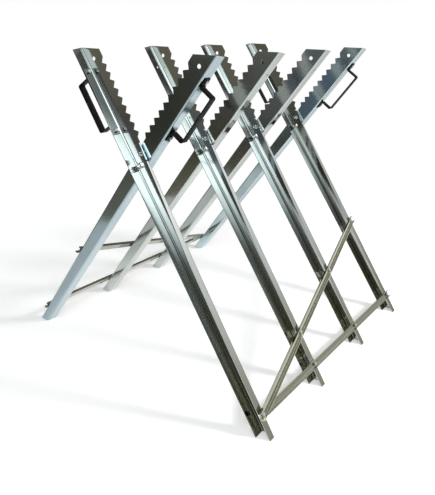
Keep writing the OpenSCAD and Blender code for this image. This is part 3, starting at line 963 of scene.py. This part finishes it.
class SAWSTAND_OT_legs(bpy.types.Operator):
    """Finish the eight folded legs in galvanised sheet, streaked along each leg"""

    bl_idname = "sawstand.legs"
    bl_label = "Finish Legs"

    def execute(self, context):
        sheet = context.scene.stand_sheet
        for node, tint in PLATING_AND_REFLECTION_TINTS.items():
            first = node.startswith("leg_a")
            web_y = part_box(node)[1][1] if first else None
            # The leg's tint holds painted reflection and shade as well as the plating's own tone.
            bright = tinted(sheet.leg_bright, tint)
            dull = tinted(sheet.leg_dull, tint)
            turn = (0, LEG_LEAN if first else -LEG_LEAN, 0)
            dress(node, galvanised(node + "_sheet", bright, dull, turn, sheet, web_y))
        return {"FINISHED"}


class SAWSTAND_OT_braces(bpy.types.Operator):
    """Finish the level and diagonal brace channels in galvanised strip"""

    bl_idname = "sawstand.braces"
    bl_label = "Finish Braces"

    def execute(self, context):
        sheet = context.scene.stand_sheet
        for node, (tone, rise) in BRACE_PAINTED_LIGHT_AND_RISE.items():
            # Painted light and shade: the brace's zinc colours are scaled by its own brightness.
            bright = tinted(sheet.brace_bright, (tone, tone, tone))
            dull = tinted(sheet.brace_dull, (tone, tone, tone))
            turn = (math.pi / 2 - rise, 0, 0)
            dress(node, galvanised(node + "_strip", bright, dull, turn, sheet))
        return {"FINISHED"}


class SAWSTAND_OT_handles(bpy.types.Operator):
    """Make the four strap handles with rounded edges and a black coat"""

    bl_idname = "sawstand.handles"
    bl_label = "Make Handles"

    def execute(self, context):
        finish = context.scene.stand_grips
        mat = black_coat(finish)
        for node in ("handle_a1", "handle_a4", "handle_b1", "handle_b4"):
            bm = bmesh.new()
            bm.from_mesh(NODES[node].data)
            bmesh.ops.remove_doubles(bm, verts=bm.verts[:], dist=WELD)
            bmesh.ops.dissolve_limit(bm, angle_limit=FLAT_ANGLE, verts=bm.verts[:], edges=bm.edges[:])
            sharp = [e for e in bm.edges if e.is_manifold and e.calc_face_angle() > SHARP_ANGLE]
            bmesh.ops.bevel(
                bm, geom=sharp, offset=finish.edge, segments=2, profile=0.5,
                affect="EDGES", clamp_overlap=True)
            piece_from(bm, "strap_" + node, mat, node, HANDLE_SMOOTH)
        return {"FINISHED"}


class SAWSTAND_OT_backings(bpy.types.Operator):
    """Finish the flat backing strips under the handle nuts"""

    bl_idname = "sawstand.backings"
    bl_label = "Finish Backing Strips"

    def execute(self, context):
        sheet = context.scene.stand_sheet
        for side, lean in (("a", LEG_LEAN), ("b", -LEG_LEAN)):
            name = "backing_strip_" + side
            mat = galvanised(name, sheet.strip_bright, sheet.strip_dull, (0, lean, 0), sheet)
            for node in names_that_start("backing_" + side):
                dress(node, mat)
        return {"FINISHED"}


class SAWSTAND_OT_pivots(bpy.types.Operator):
    """Make the pivot bolts of the four frames with their nuts, washers and spacers"""

    bl_idname = "sawstand.pivots"
    bl_label = "Make Pivot Bolts"

    def execute(self, context):
        make_frame_bolts("pivot")
        return {"FINISHED"}


class SAWSTAND_OT_stops(bpy.types.Operator):
    """Make the stop bolts below the pivots with their nuts, washers and spacers"""

    bl_idname = "sawstand.stops"
    bl_label = "Make Stop Bolts"

    def execute(self, context):
        make_frame_bolts("stop")
        return {"FINISHED"}


class SAWSTAND_OT_brace_bolts(bpy.types.Operator):
    """Make the small bolts, nuts and spacers that hold the braces to the legs"""

    bl_idname = "sawstand.brace_bolts"
    bl_label = "Make Brace Bolts"

    def execute(self, context):
        for side, axis in OUT_OF_BRACE.items():
            make_bolts("brace_bolts_" + side, axis.normalized(), large=False)
            make_nuts("brace_nuts_" + side, axis.normalized(), large=False)
            make_washers("brace_spacers_" + side, axis.normalized())
        return {"FINISHED"}


class SAWSTAND_OT_handle_bolts(bpy.types.Operator):
    """Make the small bolts and nuts that hold the handles to the flanges"""

    bl_idname = "sawstand.handle_bolts"
    bl_label = "Make Handle Bolts"

    def execute(self, context):
        for side, axis in OUT_OF_HANDLE.items():
            make_bolts("handle_bolts_" + side, axis.normalized(), large=False)
            make_nuts("handle_nuts_" + side, axis.normalized(), large=False)
        return {"FINISHED"}


class SAWSTAND_OT_stage(bpy.types.Operator):
    """Set up the floor, the lamps, the white surround and the camera"""

    bl_idname = "sawstand.stage"
    bl_label = "Set Stage"

    def execute(self, context):
        setup = context.scene.stand_studio
        stage_camera()
        stage_floor(setup)
        stage_lamp(
            "key_lamp", place=(1.78, 0.77, 1.72), target=(0, 0, 0.2), size=0.5,
            power=setup.key_power, color=(1, 1, 0.98))
        stage_lamp(
            "front_lamp", place=(0.9, -2.4, 2.2), target=(0, 0, 0.3), size=1.6,
            power=setup.front_power, color=(0.97, 0.99, 1))
        stage_surround(setup)
        context.scene.view_settings.view_transform = "Standard"
        return {"FINISHED"}


OPERATORS = (
    SAWSTAND_OT_legs,
    SAWSTAND_OT_braces,
    SAWSTAND_OT_handles,
    SAWSTAND_OT_backings,
    SAWSTAND_OT_pivots,
    SAWSTAND_OT_stops,
    SAWSTAND_OT_brace_bolts,
    SAWSTAND_OT_handle_bolts,
    SAWSTAND_OT_stage,
)


class SAWSTAND_PT_builder(bpy.types.Panel):
    """Lists the steps that dress the saw stand"""

    bl_idname = "SAWSTAND_PT_builder"
    bl_label = "Log Saw Stand"
    bl_space_type = "VIEW_3D"
    bl_region_type = "UI"
    bl_category = "Saw Stand"

    def draw(self, context):
        column = self.layout.column()
        for step in OPERATORS:
            column.operator(step.bl_idname)


SETTINGS = (
    ("stand_sheet", SheetFinish),
    ("stand_grips", GripFinish),
    ("stand_fasteners", FastenerSizes),
    ("stand_studio", StudioSetup),
)


def register():
    for name, group in SETTINGS:
        bpy.utils.register_class(group)
        setattr(bpy.types.Scene, name, PointerProperty(type=group))
    for step in OPERATORS:
        bpy.utils.register_class(step)
    bpy.utils.register_class(SAWSTAND_PT_builder)


def unregister():
    bpy.utils.unregister_class(SAWSTAND_PT_builder)
    for step in reversed(OPERATORS):
        bpy.utils.unregister_class(step)
    for name, group in reversed(SETTINGS):
        delattr(bpy.types.Scene, name)
        bpy.utils.unregister_class(group)


def main():
    register()
    bpy.ops.sawstand.legs()
    bpy.ops.sawstand.braces()
    bpy.ops.sawstand.handles()
    bpy.ops.sawstand.backings()
    bpy.ops.sawstand.pivots()
    bpy.ops.sawstand.stops()
    bpy.ops.sawstand.brace_bolts()
    bpy.ops.sawstand.handle_bolts()
    bpy.ops.sawstand.stage()


if __name__ == "__main__":
    main()
